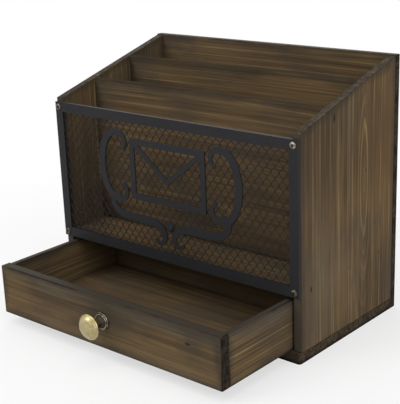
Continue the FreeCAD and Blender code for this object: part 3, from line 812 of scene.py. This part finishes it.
# The knob and its rosette are turned brass. A profile is a list of (radius, out from the
# drawer) points, and patinaAndShade says how dark each point is: dark wax in the grooves and,
# on the knob's neck under the cap, painted shade and painted reflection of the dark wood.
turnedBrass = {
    "around": 96,
    "wallSteps": 6,         # rings of points for each span of the rosette's wall
    "neckSteps": 12,        # and of the knob's neck and rim
    "faceRings": 90,
    "domeRings": 60,
}
rosetteShape = {            # shares of its radius and thickness, unless in mm
    "wall": ((1.0, 0.0), (1.0, 0.3), (0.99, 0.45)),
    "face": (0.96, 0.02),   # from the outer radius to the inner one
    "moundFoot": 0.52,      # how far out the face is at its edge
    "moundRise": 0.40,      # and how much further where the mound is full
    "moundWidth": 0.45,
    "rippleFrom": 0.5,      # radius at which the ripples start
    "rippleRise": 0.8,      # mm from there to where they are full
    "rippleDepth": 0.34,    # mm
    "ripplePitch": 1.75,    # mm
    "grooveWidth": 0.45,    # power of the wax's rise into a groove: the smaller, the wider
    "wallWax": 0.5,
    "faceWax": 0.25,
}
knobShape = {               # heights are shares of the knob's
    "neckRadius": 0.375,    # share of the cap's
    "neck": ((1.3, 0), (1.22, 0.04), (1, 0.17), (1, 0.36), (1.25, 0.47)),   # over its radius
    "flare": ((0.68, 0.57), (0.93, 0.63), (1, 0.68)),                       # over the cap's
    "rim": ((0.1, 0.715), (0.9, 0.745), (1.7, 0.755)),      # rolls in from the cap's edge
    "rimRoll": 0.45,        # mm of that roll
    "domeCut": 1.05,        # an ellipse's half width over the dome's radius
    "domeMiddle": 0.01,     # share of the cap's radius at which the dome is closed
    "rimWax": 0.2,
    "rimWaxFrom": 0.7,      # height over which wax lies in the rim's groove
    "rimWaxWidth": 0.5,     # mm
    # painted shade and painted reflection of the dark wood on the neck under the cap
    "neckShade": 0.95,
    "neckShadeEnds": (0.175, 0.675),      # heights between which it fades
}


def smoothThrough(points, steps):
    # curve through the points: in each span a cubic whose end slopes are half the step
    # between the neighbours on either side
    points = np.asarray(points, float)
    padded = np.concatenate([2 * points[:1] - points[1:2], points, 2 * points[-1:] - points[-2:-1]])
    t = (np.arange(steps) / steps)[None, :, None]
    before, start, end, after = (padded[i:len(padded) - 3 + i, None] for i in range(4))
    slopeA, slopeB = (end - before) / 2, (after - start) / 2
    curve = ((2 * t**3 - 3 * t**2 + 1) * start + (t**3 - 2 * t**2 + t) * slopeA
             + (3 * t**2 - 2 * t**3) * end + (t**3 - t**2) * slopeB)
    return np.concatenate([curve.reshape(-1, 2), points[-1:]])


def turnedPiece(name, profile, patinaAndShade, seat, replaced):
    # surface of revolution about the line that leaves the seat towards -Y:
    # point(i, angle) = seat + (radius_i cos angle, -out_i, radius_i sin angle),
    # closed by one point on the axis at each end
    around = turnedBrass["around"]
    angles = np.arange(around) * 2 * np.pi / around
    radius, out = profile[:, 0], profile[:, 1]
    rings = np.stack([radius[:, None] * np.cos(angles), np.repeat(-out[:, None], around, axis=1),
                      radius[:, None] * np.sin(angles)], axis=-1).reshape(-1, 3)
    poles = np.array([[0, -out[0], 0], [0, -out[-1], 0]])
    k = np.arange(around)
    after = (k + 1) % around
    first = (np.arange(len(profile) - 1) * around)[:, None]
    quads = np.stack([first + k, first + k + around, first + after + around, first + after],
                     axis=-1).reshape(-1, 4)
    footPole, tipPole = len(rings), len(rings) + 1
    last = (len(profile) - 1) * around
    foot = np.stack([np.full(around, footPole), k, after], axis=-1)
    tip = np.stack([last + k, np.full(around, tipPole), last + after], axis=-1)
    shades = np.concatenate([np.repeat(patinaAndShade, around), patinaAndShade[[0, -1]]])
    addPiece(name, np.concatenate([rings, poles]) + seat, quads.tolist() + foot.tolist()
             + tip.tolist(), finishes[replaced], "drawer", replaced, shades)


def buildRosette():
    # a low mound whose face is rippled into rings
    look = rosetteShape
    low, high = boxInMm("knob_rosette")
    middle, rim, thick = (low + high) / 2, (high[0] - low[0]) / 2, high[1] - low[1]
    wall = smoothThrough([(r * rim, out * thick) for r, out in look["wall"]], turnedBrass["wallSteps"])
    outer, inner = (share * rim for share in look["face"])
    face = np.linspace(outer, inner, turnedBrass["faceRings"])
    raised = np.clip((rim - face) / (look["moundWidth"] * rim), 0, 1)
    mound = thick * (look["moundFoot"] + look["moundRise"] * raised)
    inRings = np.clip((face - look["rippleFrom"] * rim) / look["rippleRise"], 0, 1)
    wave = np.cos(2 * np.pi * (rim - face) / look["ripplePitch"])
    faceOut = mound + look["rippleDepth"] * wave * inRings
    profile = np.concatenate([wall, np.stack([face, faceOut], axis=-1)])
    inGroove = inRings * (0.5 - wave / 2) ** look["grooveWidth"]
    patinaAndShade = np.concatenate([np.full(len(wall), look["wallWax"]),
                             look["faceWax"] + (1 - look["faceWax"]) * inGroove])
    seat = np.array([middle[0], high[1], middle[2]])
    turnedPiece("knobRosette", profile, patinaAndShade, seat, "knob_rosette")


def buildKnob():
    # a waisted neck that flares into a shallow mushroom cap with a rolled rim
    look = knobShape
    low, high = boxInMm("knob")
    cap, top = (high[0] - low[0]) / 2, high[1] - low[1]
    neck = look["neckRadius"] * cap
    under = [(r * neck, out * top) for r, out in look["neck"]]
    under += [(r * cap, out * top) for r, out in look["flare"]]
    under += [(cap - r * look["rimRoll"], out * top) for r, out in look["rim"]]
    edge, edgeOut = under[-1]
    curve = smoothThrough(under, turnedBrass["neckSteps"])
    # the dome is part of an ellipse, cut at its edge so that it meets the rim at an angle
    dome = np.linspace(edge, look["domeMiddle"] * cap, turnedBrass["domeRings"])[1:]
    cut = look["domeCut"]
    atEdge = math.sqrt(1 - 1 / cut**2)
    lift = (np.sqrt(1 - (dome / (cut * edge)) ** 2) - atEdge) / (1 - atEdge)
    profile = np.concatenate([curve, np.stack([dome, edgeOut + (top - edgeOut) * lift], axis=-1)])
    radius, out = profile[:, 0], profile[:, 1]
    inRim = np.exp(-(((radius - edge) / look["rimWaxWidth"]) ** 2)) * (out > look["rimWaxFrom"] * top)
    # the neck is darkened with painted shade between these heights
    lowest, highest = look["neckShadeEnds"]
    onNeck = np.clip((highest - out / top) / (highest - lowest), 0, 1)
    patinaAndShade = np.clip(look["rimWax"] * inRim + look["neckShade"] * onNeck, 0, 1)
    seat = np.array([0, high[1], (low[2] + high[2]) / 2])
    turnedPiece("knobTurned", profile, patinaAndShade, seat, "knob")


buildRosette()
buildKnob()
print("knob and rosette turned")


stage = {
    "floorSize": 6.0,
    "floor": colour(238, 238, 238),
    "floorRoughness": 0.9,
    "nearGlow": 0.62,       # share of plain white that the camera sees in the floor near by
    "farGlow": 1.0,
    "glowReach": (0.22, 0.6),
    "surroundings": 0.45,   # strength of the light from all round
    "lamps": (
        {"name": "key", "at": (-0.9, -1.5, 1.5), "size": 1.1, "power": 15},
        {"name": "right", "at": (1.7, -0.5, 0.9), "size": 1.2, "power": 10.5},
        {"name": "top", "at": (0.1, -0.2, 1.9), "size": 1.4, "power": 12},
        {"name": "rear", "at": (-1.3, 1.5, 1.1), "size": 1.4, "power": 12},
    ),
    "aim": (0.0, -0.03, 0.11),
}
camera = {
    "at": (0.5799, -0.6938, 0.3841),
    "azimuth": 41.30,       # degrees from looking along +Y
    "elevation": 17.58,
    "roll": -2.22,
    "lens": 90.17,
    "sensor": 36,
}


def seenDirectly(tree):
    # 1 where the camera, a reflection or a see-through surface looks, 0 for light on things
    path = tree.nodes.new("ShaderNodeLightPath")
    first = calc(tree, "MAXIMUM", path.outputs["Is Camera Ray"], path.outputs["Is Glossy Ray"])
    return calc(tree, "MAXIMUM", first, path.outputs["Is Transmission Ray"])


def makeFloor():
    half = stage["floorSize"] / 2
    corners = [(-half, -half, 0), (half, -half, 0), (half, half, 0), (-half, half, 0)]
    mesh = bpy.data.meshes.new("floor")
    mesh.from_pydata(corners, [], [(0, 1, 2, 3)])
    floor = bpy.data.objects.new("floor", mesh)
    bpy.context.scene.collection.objects.link(floor)
    material, tree, shader, place = startMaterial("pale floor")
    shader.inputs["Base Color"].default_value = stage["floor"]
    shader.inputs["Roughness"].default_value = stage["floorRoughness"]
    shader.inputs["Specular IOR Level"].default_value = 0.0
    glow = tree.nodes.new("ShaderNodeEmission")
    mix = tree.nodes.new("ShaderNodeMixShader")
    away = tree.nodes.new("ShaderNodeVectorMath")
    away.operation = "LENGTH"
    tree.links.new(place.outputs["Object"], away.inputs[0])
    white = remap(tree, away.outputs["Value"], *stage["glowReach"], stage["nearGlow"],
                  stage["farGlow"])
    amount = calc(tree, "MULTIPLY", seenDirectly(tree), white)
    tree.links.new(amount, mix.inputs["Fac"])
    tree.links.new(shader.outputs[0], mix.inputs[1])
    tree.links.new(glow.outputs[0], mix.inputs[2])
    tree.links.new(mix.outputs[0], tree.nodes["Material Output"].inputs["Surface"])
    dress(floor, material)


def makeWorld():
    world = bpy.data.worlds.new("studio")
    world.use_nodes = True
    tree = world.node_tree
    background = tree.nodes["Background"]
    background.inputs["Color"].default_value = (1, 1, 1, 1)
    around = stage["surroundings"]
    strength = calc(tree, "MULTIPLY_ADD", seenDirectly(tree), 1 - around, around)
    tree.links.new(strength, background.inputs["Strength"])
    bpy.context.scene.world = world


def makeLamps():
    for lamp in stage["lamps"]:
        light = bpy.data.lights.new(lamp["name"], "AREA")
        light.size = lamp["size"]
        light.energy = lamp["power"]
        holder = bpy.data.objects.new(lamp["name"], light)
        bpy.context.scene.collection.objects.link(holder)
        away = np.array(lamp["at"]) - stage["aim"]
        turn = math.atan2(away[0], -away[1])
        lean = math.atan2(math.hypot(away[0], away[1]), away[2])
        holder.location = lamp["at"]
        holder.rotation_euler = (lean, 0, turn)


def makeCamera():
    data = bpy.data.cameras.new("camera")
    data.sensor_width = camera["sensor"]
    data.lens = camera["lens"]
    data.clip_start = 0.01
    holder = bpy.data.objects.new("camera", data)
    bpy.context.scene.collection.objects.link(holder)
    azimuth, elevation, roll = (math.radians(camera[key]) for key in ("azimuth", "elevation", "roll"))
    holder.matrix_world = (Matrix.Translation(camera["at"])
                           @ Matrix.Rotation(azimuth, 4, "Z")
                           @ Matrix.Rotation(math.pi / 2 - elevation, 4, "X")
                           @ Matrix.Rotation(roll, 4, "Z"))
    bpy.context.scene.camera = holder


makeFloor()
makeWorld()
makeLamps()
makeCamera()
bpy.context.scene.view_settings.view_transform = "Standard"
print("stage, lights and camera ready")
